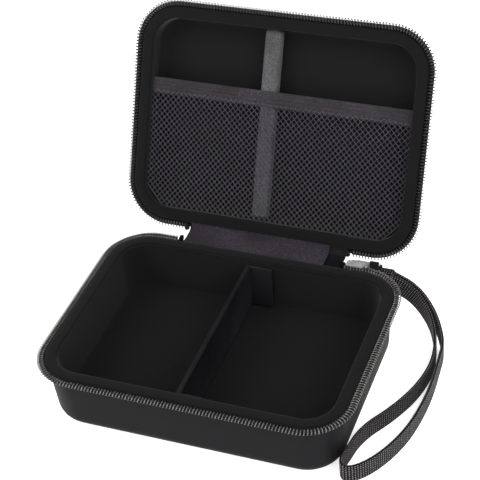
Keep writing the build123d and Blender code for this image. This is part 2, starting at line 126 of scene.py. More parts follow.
TAB_PLACE = (63.1, 65.6, 24.2)
TAB_SIZE = (11.4, 5.4, 11.0)
TAB_ROUNDING = 1.3
LOOP_PLACE = (60.6, 62.3, 33.75)
LOOP_RADIUS = 2.2
LOOP_TAPE_RADIUS = 0.5
LOOP_STRETCH = (1.15, 0.5, 2.6)
FOLD_PLACE = (59.6, 62.2, 35.6)
FOLD_RADIUS = 1.0
FOLD_WIDTH = 4.6
FOLD_DROP = 6.5
FOLD_THICKNESS = 0.6
FOLD_SLACK = 0.05
NECK_PLACE = (60.85, 63.5, 31.0)
NECK_SIZE = (5.0, 0.8, 7.4)
NECK_ROUNDING = 0.3

# Two places nearer to each other than this, in metres, are one
TOUCHING = 1e-6

# What lies on the rim behind this belongs to its back run, beside the hinge
BACK_RUN_Y = 30.0

# Height of the strap's middle where its lower edge lies on the table
LAID = 5.05

# Places along the strap's middle, the same as in the part's source
STRAP_ROUTE = [
    (66.6, 67.4, 23.7),
    (70.5, 66.8, 22.4),
    (76.7, 66.5, 19.6),
    (82.8, 64.5, 16.4),
    (88.2, 60.8, 13.0),
    (93.0, 55.9, 9.8),
    (96.9, 49.6, 7.2),
    (100.3, 41.6, 5.6),
    (100.9, 29.9, LAID),
    (101.7, 17.0, LAID),
    (101.5, 4.6, LAID),
    (100.5, -6.1, LAID),
    (98.7, -17.0, LAID),
    (95.5, -27.4, LAID),
    (91.1, -37.0, LAID),
    (86.0, -44.8, LAID),
    (80.8, -49.6, LAID),
    (76.6, -50.2, LAID),
    (74.2, -46.9, LAID),
    (74.7, -41.0, LAID),
    (75.8, -35.6, LAID),
    (76.6, -29.6, LAID),
    (80.0, -20.4, LAID),
    (85.7, -11.5, LAID),
    (90.5, -2.2, LAID),
    (94.3, 7.1, LAID),
    (96.9, 17.1, LAID),
    (98.1, 28.0, LAID),
    (96.7, 40.3, 5.6),
    (94.1, 48.4, 7.2),
    (90.8, 54.3, 9.8),
    (86.5, 58.8, 13.0),
    (81.6, 62.1, 16.4),
    (76.3, 63.9, 19.6),
    (70.4, 64.0, 22.4),
    (66.6, 63.9, 23.7),
]

# Where each half's own frame stands: local Z runs into the half, local Y runs to the hinge
lean = radians(OPEN_ANGLE)
lid_y = HINGE_Y - HINGE_Y * cos(lean) + HINGE_DROP * sin(lean)
lid_z = BASE_HEIGHT - HINGE_DROP + HINGE_Y * sin(lean) + HINGE_DROP * cos(lean)
HALF_FRAME = {
    "base": Matrix(
        (
            (-1, 0, 0, 0),
            (0, 1, 0, 0),
            (0, 0, -1, BASE_HEIGHT * MM),
            (0, 0, 0, 1),
        )
    ),
    "lid": Matrix(
        (
            (1, 0, 0, 0),
            (0, cos(lean), sin(lean), lid_y * MM),
            (0, -sin(lean), cos(lean), lid_z * MM),
            (0, 0, 0, 1),
        )
    ),
}


# Camera, at the photograph's viewing angle
def make_camera():
    """A long lens to the right of the case's front, looking down at it and rolled slightly."""
    azimuth, elevation, roll = radians(23.96), radians(38.35), radians(-5.92)
    distance, shift_right, shift_up = 727.87, 9.11, 44.79
    back = Vector(
        (sin(azimuth) * cos(elevation), -cos(azimuth) * cos(elevation), sin(elevation))
    )
    level = Vector((cos(azimuth), sin(azimuth), 0))
    up = back.cross(level)
    right = level * cos(roll) + up * sin(roll)
    top = up * cos(roll) - level * sin(roll)
    target = Vector((0, 0, 30))
    place = target + back * distance + right * shift_right + top * shift_up
    bpy.ops.object.camera_add(location=place * MM)
    camera = bpy.context.object
    camera.rotation_euler = Matrix((right, top, back)).transposed().to_euler()
    camera.data.sensor_width = 36.0
    camera.data.lens = 111.84
    camera.data.clip_start = 0.05
    camera.data.clip_end = 20.0
    bpy.context.scene.camera = camera


make_camera()


# Small tools for making pieces
def piece(name, body, material, smooth=30.0):
    """Names the active object, gives it its material and lets it ride on its body."""
    made = bpy.context.object
    made.name = name
    made.data.name = name
    made.data.materials.clear()
    made.data.materials.append(material)
    bpy.ops.object.shade_smooth_by_angle(angle=radians(smooth))
    if body:
        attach(made, body)
    made.select_set(False)
    return made


def apply_modifiers():
    """Applies all modifiers of the active object, in their order."""
    for modifier in list(bpy.context.object.modifiers):
        bpy.ops.object.modifier_apply(modifier=modifier.name)


def add_modifier(kind, **settings):
    """Puts a modifier on the active object."""
    modifier = bpy.context.object.modifiers.new(kind.title(), kind)
    for key, value in settings.items():
        setattr(modifier, key, value)


def set_in_half(half):
    """Sets the active object, made in a half's own frame, in its place and applies it."""
    made = bpy.context.object
    made.matrix_world = HALF_FRAME[half] @ made.matrix_world
    bpy.ops.object.transform_apply(location=True, rotation=True, scale=True)


def metres(sizes):
    """A place or a size in millimetres, turned to metres."""
    return [size * MM for size in sizes]


def block(place, size):
    """Adds a box of a size, centred on a place."""
    bpy.ops.mesh.primitive_cube_add(size=1, location=metres(place))
    bpy.context.object.scale = metres(size)
    bpy.ops.object.transform_apply(location=True, rotation=False, scale=True)


def stitch(place, size):
    """Adds one stitch: a bead of thread, drawn out to a size each way from a place."""
    bpy.ops.mesh.primitive_uv_sphere_add(segments=6, ring_count=5, radius=1)
    bpy.context.object.scale = metres(size)
    bpy.context.object.location = metres(place)
    bpy.ops.object.transform_apply(location=True, rotation=False, scale=True)


def repeat(count, step):
    """Repeats the active object in a row, each copy a step from the one before."""
    add_modifier(
        "ARRAY",
        count=count,
        use_relative_offset=False,
        use_constant_offset=True,
        constant_offset_displace=metres(step),
    )


def round_edges(width, segments=2, over=60):
    """Rounds the active object's edges that turn by more than an angle in degrees."""
    add_modifier(
        "BEVEL",
        width=width * MM,
        segments=segments,
        limit_method="ANGLE",
        angle_limit=radians(over),
    )


def ripple(name, cloud_mm, strength, **settings):
    """Makes the active object softly uneven, with hollows and swells of one size."""
    clouds = bpy.data.textures.new(name, "CLOUDS")
    clouds.noise_scale = cloud_mm * MM
    add_modifier("DISPLACE", texture=clouds, strength=strength * MM, **settings)


def slice_along(axis, steps):
    """Cuts the mesh in edit mode into short slices across an axis, so that it can ripple."""
    normal = [0, 0, 0]
    normal[axis] = 1
    for step in steps:
        bpy.ops.mesh.select_all(action="SELECT")
        place = metres(step * CLOTH_SLICE * part for part in normal)
        bpy.ops.mesh.bisect(plane_co=place, plane_no=normal)


def pick(kind, test):
    """Selects only the faces, edges or vertices of the mesh in edit mode that pass a test."""
    bpy.ops.mesh.select_all(action="DESELECT")
    shape = bmesh.from_edit_mesh(bpy.context.object.data)
    bpy.context.tool_settings.mesh_select_mode = (
        kind == "verts",
        kind == "edges",
        kind == "faces",
    )
    for element in getattr(shape, kind):
        element.select_set(bool(test(element)))
    shape.select_flush_mode()
    bmesh.update_edit_mesh(bpy.context.object.data)


def at_level(element, level):
    """Whether all corners of a face or an edge lie at one height of a half's own frame."""
    return all(abs(vert.co.z - level * MM) < TOUCHING for vert in element.verts)


def rounded_plate(width, depth, radius, level, segments=14):
    """Adds a flat plate with rounded corners, in a half's own frame, and stays in edit mode."""
    bpy.ops.mesh.primitive_plane_add(size=1, location=(0, 0, level * MM))
    bpy.context.object.scale = (width * MM, depth * MM, 1)
    bpy.ops.object.transform_apply(location=True, rotation=False, scale=True)
    bpy.ops.object.mode_set(mode="EDIT")
    bpy.ops.mesh.select_all(action="SELECT")
    bpy.ops.mesh.bevel(offset=radius * MM, segments=segments, affect="VERTICES")
    bpy.ops.mesh.select_all(action="SELECT")


def rim_plate(inset, level, segments=14):
    """The rim's rounded outline as a plate, drawn in by an inset."""
    rounded_plate(RIM[0] - 2 * inset, RIM[1] - 2 * inset, RIM_RADIUS - inset, level, segments)


# Materials
def colour(code):
    """An sRGB hex colour as the linear colour that a shader takes."""
    parts = [int(code[i : i + 2], 16) / 255 for i in (1, 3, 5)]
    return [c / 12.92 if c <= 0.04045 else ((c + 0.055) / 1.055) ** 2.4 for c in parts] + [1]


def add(tree, kind, inputs, **settings):
    """Adds one node: an input given an output is linked to it, and any other takes the value."""
    made = tree.nodes.new(kind)
    for key, value in settings.items():
        setattr(made, key, value)
    for key, value in inputs.items():
        if isinstance(value, bpy.types.NodeSocket):
            tree.links.new(value, made.inputs[key])
        else:
            made.inputs[key].default_value = value
    return made.outputs


def new_material(name, **surface):
    """A material with its surface shader, whose constant values are set on the shader itself."""
    made = bpy.data.materials.new(name)
    made.use_nodes = True
    tree = made.node_tree
    shader = tree.nodes["Principled BSDF"]
    for key, value in surface.items():
        shader.inputs[key.replace("_", " ")].default_value = value
    return made, tree, shader


def per_mm(pitch_mm):
    """A texture's scale for cells of a real size."""
    return 1 / (pitch_mm * MM)


# Polyurethane-coated polyester: calendered cloth with a fine pebbled skin, so it is satin, gets
# soft broad highlights on its rounded edges, and shows faint cloudy rubbing
def coated_cloth(name, dark, light, grain_mm, roughness):
    """A coated cloth between two colours, with its pebbles so many millimetres apart."""
    made, tree, shader = new_material(name, Specular_IOR_Level=0.05)
    where = add(tree, "ShaderNodeTexCoord", {})["Object"]
    rubbing = add(
        tree, "ShaderNodeTexNoise", {"Vector": where, "Scale": per_mm(28), "Detail": 4.0}
    )
    specks = add(
        tree, "ShaderNodeTexNoise", {"Vector": where, "Scale": per_mm(1.6), "Detail": 3.0}
    )
    mottle = add(tree, "ShaderNodeMix", {0: 0.35, 2: rubbing[0], 3: specks[0]})
    amount = add(tree, "ShaderNodeMapRange", {0: mottle[0], 1: 0.36, 2: 0.64})
    tone = add(
        tree, "ShaderNodeMix", {0: amount[0], 6: colour(dark), 7: colour(light)}, data_type="RGBA"
    )
    tree.links.new(tone[2], shader.inputs["Base Color"])
    dull = add(
        tree,
        "ShaderNodeMapRange",
        {0: rubbing[0], 1: 0.3, 2: 0.7, 3: roughness - 0.06, 4: roughness + 0.06},
    )
    tree.links.new(dull[0], shader.inputs["Roughness"])
    pebbles = add(tree, "ShaderNodeTexVoronoi", {"Vector": where, "Scale": per_mm(grain_mm)})
    skin = add(
        tree, "ShaderNodeBump", {"Height": pebbles[0], "Distance": 0.05 * MM, "Strength": 0.35}
    )
    tree.links.new(skin[0], shader.inputs["Normal"])
    return made


# Knitted polyester: brushed tricot or jersey, so it is matt, faintly furry at its edges, and its
# loops and lighter fibres make a fine speckle
def knitted_cloth(name, dark, light, pitch_mm, fleck, sheen=0.1):
    """A knitted cloth between two colours; fleck is how much of it the lighter fibres cover."""
    made, tree, shader = new_material(
        name, Sheen_Weight=sheen, Sheen_Roughness=0.4, Roughness=0.9, Specular_IOR_Level=0.12
    )
    where = add(tree, "ShaderNodeTexCoord", {})["Object"]
    fibres = add(
        tree,
        "ShaderNodeTexNoise",
        {"Vector": where, "Scale": per_mm(pitch_mm * 0.6), "Detail": 5.0},
    )
    wear = add(tree, "ShaderNodeTexNoise", {"Vector": where, "Scale": per_mm(18), "Detail": 2.0})
    flecks = add(tree, "ShaderNodeMapRange", {0: fibres[0], 1: 0.6 - fleck * 0.2, 2: 0.72})
    cloudy = add(tree, "ShaderNodeMapRange", {0: wear[0], 1: 0.1, 2: 0.75})
    amount = add(tree, "ShaderNodeMath", {0: flecks[0], 1: cloudy[0]}, operation="MULTIPLY")
    tone = add(
        tree, "ShaderNodeMix", {0: amount[0], 6: colour(dark), 7: colour(light)}, data_type="RGBA"
    )
    tree.links.new(tone[2], shader.inputs["Base Color"])
    loops = add(tree, "ShaderNodeTexVoronoi", {"Vector": where, "Scale": per_mm(pitch_mm)})
    courses = add(
        tree, "ShaderNodeBump", {"Height": loops[0], "Distance": 0.12 * MM, "Strength": 0.5}
    )
    nap = add(
        tree,
        "ShaderNodeBump",
        {"Height": fibres[0], "Distance": 0.1 * MM, "Strength": 0.35, "Normal": courses[0]},
    )
    tree.links.new(nap[0], shader.inputs["Normal"])
    return made


# Woven polyester webbing: warp ribs run along it and weft picks cross them, so it shows a fine
# grid; its raised threads are painted pale as a dull sparkle, a painted highlight on the dark
# webbing
def woven_tape(name, dark, light, across_mm, along_mm):
    """Webbing whose ribs and picks follow the piece's own thread map."""
    made, tree, shader = new_material(
        name, Sheen_Weight=0.03, Sheen_Roughness=0.4, Roughness=0.72, Specular_IOR_Level=0.08
    )
    thread = add(tree, "ShaderNodeUVMap", {}, uv_map="thread")
    split = add(tree, "ShaderNodeSeparateXYZ", {0: thread[0]})
    waves = []
    for axis, pitch_mm in ((1, across_mm), (0, along_mm)):
        turns = add(
            tree,
            "ShaderNodeMath",
            {0: split[axis], 1: 2 * pi * per_mm(pitch_mm)},
            operation="MULTIPLY",
        )
        wave = add(tree, "ShaderNodeMath", {0: turns[0]}, operation="SINE")
        waves.append(add(tree, "ShaderNodeMapRange", {0: wave[0], 1: -0.1, 2: 0.85}))
    threads = add(tree, "ShaderNodeMath", {0: waves[0][0], 1: waves[1][0]}, operation="MULTIPLY")
    where = add(tree, "ShaderNodeTexCoord", {})["Object"]
    fuzz = add(tree, "ShaderNodeTexNoise", {"Vector": where, "Scale": per_mm(0.7), "Detail": 4.0})
    patchy = add(tree, "ShaderNodeMapRange", {0: fuzz[0], 1: 0.2, 2: 0.75})
    amount = add(tree, "ShaderNodeMath", {0: threads[0], 1: patchy[0]}, operation="MULTIPLY")
    # The weave's grid is real, but the pale colour on its raised threads is painted highlight
    tone = add(
        tree, "ShaderNodeMix", {0: amount[0], 6: colour(dark), 7: colour(light)}, data_type="RGBA"
    )
    tree.links.new(tone[2], shader.inputs["Base Color"])
    weave = add(
        tree, "ShaderNodeBump", {"Height": threads[0], "Distance": 0.22 * MM, "Strength": 0.8}
    )
    tree.links.new(weave[0], shader.inputs["Normal"])
    return made


# Drawn nylon or polyester filament: smooth and a little glossy, so it catches small highlights
def drawn_filament(name, code, light, roughness):
    """A filament that varies faintly between two colours along its length."""
    made, tree, shader = new_material(name, Specular_IOR_Level=0.5, IOR=1.53)
    where = add(tree, "ShaderNodeTexCoord", {})["Object"]
    streaks = add(
        tree, "ShaderNodeTexNoise", {"Vector": where, "Scale": per_mm(1.5), "Detail": 2.0}
    )
    amount = add(tree, "ShaderNodeMapRange", {0: streaks[0], 1: 0.3, 2: 0.7})
    tone = add(
        tree, "ShaderNodeMix", {0: amount[0], 6: colour(code), 7: colour(light)}, data_type="RGBA"
    )
    tree.links.new(tone[2], shader.inputs["Base Color"])
    dull = add(
        tree, "ShaderNodeMapRange", {0: streaks[0], 3: roughness - 0.08, 4: roughness + 0.08}
    )
    tree.links.new(dull[0], shader.inputs["Roughness"])
    return made


# Die-cast zinc with a nickel plate, tumbled: bright and near mirror-like, with fine rub marks
def plated_zinc(name, code, light, roughness):
    """A plated metal between two colours."""
    made, tree, shader = new_material(name, Metallic=1.0)
    where = add(tree, "ShaderNodeTexCoord", {})["Object"]
    marks = add(
        tree,
        "ShaderNodeTexNoise",
        {"Vector": where, "Scale": per_mm(0.8), "Detail": 6.0, "Roughness": 0.7},
    )
    amount = add(tree, "ShaderNodeMapRange", {0: marks[0], 1: 0.35, 2: 0.65})
    tone = add(
        tree, "ShaderNodeMix", {0: amount[0], 6: colour(code), 7: colour(light)}, data_type="RGBA"
    )
    tree.links.new(tone[2], shader.inputs["Base Color"])
    dull = add(tree, "ShaderNodeMapRange", {0: marks[0], 3: roughness, 4: roughness + 0.2})
    tree.links.new(dull[0], shader.inputs["Roughness"])
    scratches = add(
        tree, "ShaderNodeBump", {"Height": marks[0], "Distance": 0.02 * MM, "Strength": 0.3}
    )
    tree.links.new(scratches[0], shader.inputs["Normal"])
    return made


cover_cloth = coated_cloth("coated_polyester_cover", "#0c0c0d", "#131214", 0.75, 0.56)
hinge_cloth = coated_cloth("coated_polyester_hinge", "#0e0e11", "#1a191d", 0.75, 0.46)
divider_cloth = coated_cloth("coated_polyester_divider", "#101012", "#1b1b1e", 0.6, 0.5)
lining_cloth = knitted_cloth("brushed_tricot_lining", "#0c0c0d", "#171718", 0.45, 0.5)
binding_cloth = knitted_cloth("brushed_tricot_binding", "#080808", "#101011", 0.45, 0.5)
rib_cloth = knitted_cloth("melange_jersey_rib", "#2f2f30", "#6c6c6e", 0.7, 1.0)
hinge_jersey = knitted_cloth("melange_jersey_hinge", "#17141a", "#4a434d", 0.7, 0.9)
zip_tape = knitted_cloth("knitted_zip_tape", "#0c0c0d", "#18181a", 0.5, 0.5)
hook_tape = knitted_cloth("hook_tape_nylon", "#0b0b0c", "#242426", 0.8, 0.8)
elastic_tape = knitted_cloth("covered_rubber_elastic", "#1c1a1d", "#5c575d", 0.5, 0.7)
shell_foam = knitted_cloth("closed_cell_foam", "#161617", "#222223", 0.3, 0.5, sheen=0.0)
# Its ribs and picks are drawn a little wider apart than in real webbing, so that they show
webbing = woven_tape("woven_polyester_webbing_painted_sparkle", "#060506", "#a9a1a6", 1.2, 1.3)
# The net's yarn is black; its grey is painted sheen, the light that its glossy strands catch
net_yarn_painted_sheen = drawn_filament("knitted_net_polyester_painted_sheen", "#242126", "#4c474f", 0.45)
# Lit and shaded copies of one nylon: the base's coil faces the light and is painted paler as
# painted light, and the lid's coil is painted darker as painted shade
coil_nylon_lit_and_shaded = {
    "base": drawn_filament("drawn_nylon_coil_base_painted_light", "#232221", "#5f5c5a", 0.2),
    "lid": drawn_filament("drawn_nylon_coil_lid_painted_shade", "#131212", "#33312f", 0.3),
}
seam_thread = drawn_filament("bonded_nylon_thread", "#1d1c1d", "#39383a", 0.5)
slider_metal = plated_zinc("nickel_plated_zinc", "#d2d2d0", "#fcfcfb", 0.38)
stop_metal = plated_zinc("blackened_zinc_stop", "#121213", "#262627", 0.45)


# Wrist strap, on the smooth line of its route
def strap_line():
    """Points of the strap's smooth line, read from a spline through its route."""
    line = bpy.data.curves.new("strap_line", "CURVE")
    line.dimensions = "3D"
    line.resolution_u = 10
    spline = line.splines.new("NURBS")
    spline.points.add(len(STRAP_ROUTE) - 1)
    for point, place in zip(spline.points, STRAP_ROUTE):
        point.co = (place[0] * MM, place[1] * MM, place[2] * MM, 1)
    spline.order_u = 3
    spline.use_endpoint_u = True
    holder = bpy.data.objects.new("strap_line", line)
    bpy.context.scene.collection.objects.link(holder)
    mesh = bpy.data.meshes.new_from_object(holder)
    points = [vertex.co.copy() for vertex in mesh.vertices]
    bpy.data.objects.remove(holder)
    bpy.data.meshes.remove(mesh)
    return points


def strap_profile():
    """The webbing's section, as places across its width and through its thickness."""
    half, thick = STRAP_WIDTH / 2 * MM, STRAP_THICKNESS / 2 * MM
    shoulder, between = half * 0.94, half * 0.5
    side = [
        (-half, -thick * 0.45),
        (-shoulder, -thick),
        (-between, -thick),
        (0, -thick),
        (between, -thick),
        (shoulder, -thick),
        (half, -thick * 0.45),
    ]
    return side + [(-across, -through) for across, through in side]


def running_lengths(places):
    """How far along a line each of its places lies."""
    lengths = [0.0]
    for before, after in zip(places, places[1:]):
        lengths.append(lengths[-1] + (after - before).length)
    return lengths


def section_at(shape, points, index, profile):
    """Adds the webbing's section, standing on its edge, at one point of the strap's line."""
    before = points[max(index - 1, 0)]
    after = points[min(index + 1, len(points) - 1)]
    forward = (after - before).normalized()
    side = forward.cross(Vector((0, 0, 1))).normalized()
    upright = side.cross(forward).normalized()
    return [shape.verts.new(points[index] + upright * w + side * t) for w, t in profile]


def make_strap():
    """Flat webbing that stands on its edge along the line, with its edges rounded."""
    points = strap_line()
    profile = strap_profile()
    shape = bmesh.new()
    thread = shape.loops.layers.uv.new("thread")
    rings = [section_at(shape, points, index, profile) for index in range(len(points))]
    travelled = running_lengths(points)
    around = running_lengths([Vector(corner) for corner in profile + profile[:1]])
    for index in range(len(rings) - 1):
        for side in range(len(profile)):
            following = (side + 1) % len(profile)
            face = shape.faces.new(
                (
                    rings[index][side],
                    rings[index][following],
                    rings[index + 1][following],
                    rings[index + 1][side],
                )
            )
            corners = (
                (travelled[index], around[side]),
                (travelled[index], around[side + 1]),
                (travelled[index + 1], around[side + 1]),
                (travelled[index + 1], around[side]),
            )
            for loop, corner in zip(face.loops, corners):
                loop[thread].uv = corner
    shape.faces.new(list(reversed(rings[0])))
    shape.faces.new(rings[-1])
    bmesh.ops.recalc_face_normals(shape, faces=shape.faces)
    mesh = bpy.data.meshes.new("strap_webbing")
    shape.to_mesh(mesh)
    shape.free()
    strap = bpy.data.objects.new("strap_webbing", mesh)
    bpy.context.scene.collection.objects.link(strap)
    mesh.materials.append(webbing)
    bpy.context.view_layer.objects.active = strap
    strap.select_set(True)
    bpy.ops.object.shade_smooth_by_angle(angle=radians(40))
    strap.select_set(False)
    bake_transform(strap)
    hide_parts("wrist_strap")


make_strap()


# Moulded halves
def moulded_shell(name, half, inset, thickness, edge_radius, far, material, node):
    """One moulded layer: a rounded tray with drafted walls, made open side towards the rim."""
    rise = far - SHELL_EDGE
    taper = rise * tan(radians(DRAFT))
    wide, deep = RIM[0] - 2 * inset, RIM[1] - 2 * inset
    rim_plate(inset, SHELL_EDGE)
    bpy.ops.mesh.extrude_region_move(TRANSFORM_OT_translate={"value": (0, 0, rise * MM)})
    bpy.ops.transform.resize(value=((wide - 2 * taper) / wide, (deep - 2 * taper) / deep, 1))
    pick("edges", lambda edge: at_level(edge, far))
    bpy.ops.mesh.bevel(offset=edge_radius * MM, segments=8, affect="EDGES", clamp_overlap=False)
    pick("faces", lambda face: at_level(face, SHELL_EDGE))
    bpy.ops.mesh.delete(type="FACE")
    bpy.ops.mesh.select_all(action="SELECT")
    bpy.ops.mesh.normals_make_consistent(inside=False)
    bpy.ops.object.mode_set(mode="OBJECT")
    add_modifier("SOLIDIFY", thickness=thickness * MM, offset=-1, use_even_offset=True)
    apply_modifiers()
    set_in_half(half)
    made = piece(name, half, material)
    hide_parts(node)


for half in ("base", "lid"):
    moulded_shell(
        half + "_cover_moulding",
        half,
        inset=WALL_INSET,
        thickness=COVER,
        edge_radius=EDGE_RADIUS[half],
        far=HEIGHT[half],
        material=cover_cloth,
        node=half + "_outer_cover",
    )
    moulded_shell(
        half + "_lining_moulding",
        half,
        inset=WALL_INSET + COVER + FOAM,
        thickness=LINING,
        edge_radius=EDGE_RADIUS[half] - COVER - FOAM,
        far=HEIGHT[half] - COVER - FLOOR_FOAM[half],
        material=lining_cloth,
        node=half + "_lining",
    )


# Rim: tape, binding and coil of each half of the zip
def cut_at_gap(gap_half):
    """Cuts the mesh in edit mode across at both ends of the hinge's gap."""
    for side in (1, -1):
        bpy.ops.mesh.select_all(action="SELECT")
        bpy.ops.mesh.bisect(plane_co=(side * gap_half * MM, 0, 0), plane_no=(1, 0, 0))


def in_gap(place, gap_half):
    """Whether a place on the rim lies in the hinge's gap."""
    return place.y > BACK_RUN_Y * MM and abs(place.x) < gap_half * MM


def open_gap(gap_half):
    """Takes the hinge's gap out of a band in edit mode, and closes the band's two ends."""
    cut_at_gap(gap_half)
    shape = bmesh.from_edit_mesh(bpy.context.object.data)
    doomed = [face for face in shape.faces if in_gap(face.calc_center_median(), gap_half)]
    bmesh.ops.delete(shape, geom=doomed, context="FACES")
    bmesh.update_edit_mesh(bpy.context.object.data)
    bpy.ops.mesh.select_all(action="SELECT")
    bpy.ops.mesh.normals_make_consistent(inside=False)
    bpy.ops.mesh.select_all(action="DESELECT")
    bpy.ops.mesh.select_mode(type="EDGE")
    bpy.ops.mesh.select_non_manifold()
    bpy.ops.mesh.fill()


def rim_band(name, half, outer, near, far, rounding, gap_half, material, node):
    """A flat band from an inset of the rim to the well, all round or open at the hinge."""
    rim_plate(outer, far)
    bpy.ops.mesh.inset(thickness=(WELL_INSET - outer) * MM)
    bpy.ops.mesh.delete(type="FACE")
    bpy.ops.mesh.select_all(action="SELECT")
    bpy.ops.mesh.extrude_region_move(TRANSFORM_OT_translate={"value": (0, 0, (near - far) * MM)})
    if gap_half:
        open_gap(gap_half)
    bpy.ops.mesh.select_all(action="SELECT")
    bpy.ops.mesh.remove_doubles(threshold=TOUCHING)
    bpy.ops.mesh.normals_make_consistent(inside=False)
    bpy.ops.object.mode_set(mode="OBJECT")
    round_edges(rounding, segments=3)
    apply_modifiers()
    set_in_half(half)
    made = piece(name, half, material)
    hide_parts(node)


def rim_path(name, inset, level, gap_half):
    """The rim's outline as an open curve that starts and ends beside the hinge."""
    rim_plate(inset, level, segments=20)
    cut_at_gap(gap_half)
    shape = bmesh.from_edit_mesh(bpy.context.object.data)
    doomed = [
        edge
        for edge in shape.edges
        if len(edge.link_faces) == 2
        or in_gap((edge.verts[0].co + edge.verts[1].co) / 2, gap_half)
    ]
    bmesh.ops.delete(shape, geom=list(shape.faces), context="FACES_ONLY")
    bmesh.ops.delete(shape, geom=doomed, context="EDGES")
    bmesh.update_edit_mesh(bpy.context.object.data)
    bpy.ops.object.mode_set(mode="OBJECT")
    bpy.ops.object.convert(target="CURVE")
    path = bpy.context.object
    path.name = name
    path.select_set(False)
    return path


def along_path(path, pitch_mm, length_mm):
    """Repeats the active object along a path at an even pitch, and makes it a mesh again."""
    count = int(length_mm / pitch_mm)
    repeat(count, (length_mm / count, 0, 0))
    add_modifier("CURVE", object=path, deform_axis="POS_X")
    apply_modifiers()


def path_length(path):
    """The length of a path's single run, in millimetres."""
    points = [Vector(p.co[:3]) for p in path.data.splines[0].points]
    return sum((b - a).length for a, b in zip(points, points[1:])) / MM


def coil_turn():
    """One turn of the coil's filament: a flattened loop that leans a little along the zip."""
    bpy.ops.mesh.primitive_torus_add(
        align="WORLD",
        location=(0, 0, 0),
        rotation=(0, pi / 2, 0),
        major_segments=12,
        minor_segments=5,
        major_radius=MM,
        minor_radius=COIL_THREAD * MM,
    )
    bpy.ops.object.transform_apply(location=True, rotation=True, scale=True)
    for vertex in bpy.context.object.data.vertices:
        angle = atan2(vertex.co.z, vertex.co.y)
        off_ring = vertex.co - Vector((0, cos(angle), sin(angle))) * MM
        flattened = Vector(
            (
                sin(angle) * COIL_LEAN,
                cos(angle) * (COIL_HALF_WIDTH - COIL_THREAD),
                sin(angle) * (COIL_HALF_HEIGHT - COIL_THREAD),
            )
        )
        vertex.co = flattened * MM + off_ring


def make_coil(half):
    """The coil of one half: its turns, and the cord that lies inside them."""
    level = (COIL_NEAR + COIL_FAR) / 2
    path = rim_path(half + "_coil_path", COIL_HALF_WIDTH, level, HINGE_HALF + COIL_END_GAP)
    run = path_length(path)
    coil_turn()
    along_path(path, COIL_PITCH, run)
    set_in_half(half)
    # The turns take their half's copy of the nylon: painted lighter on the base, darker on the lid
    turns = piece(half + "_coil_turns", half, coil_nylon_lit_and_shaded[half], smooth=60)
    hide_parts(half + "_zip_coil")

    bpy.ops.mesh.primitive_cylinder_add(
        vertices=8,
        radius=COIL_CORD_RADIUS * MM,
        depth=COIL_PITCH * MM,
        rotation=(0, pi / 2, 0),
        end_fill_type="NOTHING",
    )
    bpy.ops.object.transform_apply(location=True, rotation=True, scale=True)
    along_path(path, COIL_PITCH, run)
    set_in_half(half)
    core = piece(half + "_coil_cord", half, zip_tape, smooth=60)
    bpy.data.objects.remove(path)


for half in ("base", "lid"):
    rim_band(
        half + "_tape_band",
        half,
        outer=TAPE_OUTER,
        near=COIL_FAR,
        far=SHELL_EDGE,
        rounding=TAPE_ROUNDING,
        gap_half=HINGE_HALF + TAPE_END_GAP,
        material=zip_tape,
        node=half + "_zip_tape",
    )
    rim_band(
        half + "_binding_band",
        half,
        outer=BINDING_OUTER,
        near=COIL_FAR - BINDING_THICKNESS,
        far=COIL_FAR,
        rounding=BINDING_ROUNDING,
        gap_half=0,
        material=binding_cloth,
        node=half + "_rim_binding",
    )
    make_coil(half)


# Cloth hinge: each panel runs off the base's rim, turns where the halves' planes cross, and goes
# up the lid
def hinge_panel(name, left, right, run_start, depth, thickness, material, node):
    """A strip of cloth, faintly puckered where it bends."""
    turn = pi - lean
    fold_shift = HINGE_DROP * tan(lean / 2)
    fold_y = HINGE_Y + fold_shift
    run = fold_y - run_start
    lid_run = HINGE_Y - fold_shift - run_start
    lid_steps = 4
    bpy.ops.mesh.primitive_grid_add(
        x_subdivisions=int((right - left) / CLOTH_CELL),
        y_subdivisions=8,
        size=1,
        location=metres(((left + right) / 2, run_start + run / 2, BASE_HEIGHT - depth)),
    )
    bpy.context.object.scale = ((right - left) * MM, run * MM, 1)
    bpy.ops.object.transform_apply(location=True, rotation=True, scale=True)
    bpy.ops.object.mode_set(mode="EDIT")
    pick("edges", lambda edge: all(abs(v.co.y - fold_y * MM) < TOUCHING for v in edge.verts))
    bpy.ops.mesh.spin(
        steps=10, angle=-turn, center=(0, fold_y * MM, BASE_HEIGHT * MM), axis=(1, 0, 0)
    )
    step = lid_run / lid_steps * MM
    for _ in range(lid_steps):
        bpy.ops.mesh.extrude_region_move(
            TRANSFORM_OT_translate={"value": (0, cos(turn) * step, sin(turn) * step)}
        )
    bpy.ops.mesh.select_all(action="SELECT")
    bpy.ops.mesh.remove_doubles(threshold=TOUCHING)
    bpy.ops.mesh.normals_make_consistent(inside=False)
    bpy.ops.object.mode_set(mode="OBJECT")
    ripple(name + "_pucker", 6, 0.45, mid_level=0.5)
    add_modifier("SOLIDIFY", thickness=thickness * MM, offset=0)
    round_edges(0.15)
    apply_modifiers()
    made = piece(name, None, material, smooth=50)
    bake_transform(made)
    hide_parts(node)
    return made


outer_panel = hinge_panel(
    "hinge_outer_cloth",
    left=-HINGE_HALF,
    right=HINGE_HALF,
    run_start=50.5,
    depth=3.0,
    thickness=0.6,
    material=hinge_cloth,
    node="hinge_outer_panel",
)
inner_panel = hinge_panel(
    "hinge_inner_cloth",
    left=INNER_PANEL_LEFT_MARGIN - HINGE_HALF,
    right=HINGE_HALF - INNER_PANEL_RIGHT_MARGIN,
    run_start=55.6,
    depth=2.15,
    thickness=0.7,
    material=hinge_jersey,
    node="hinge_inner_panel",
)


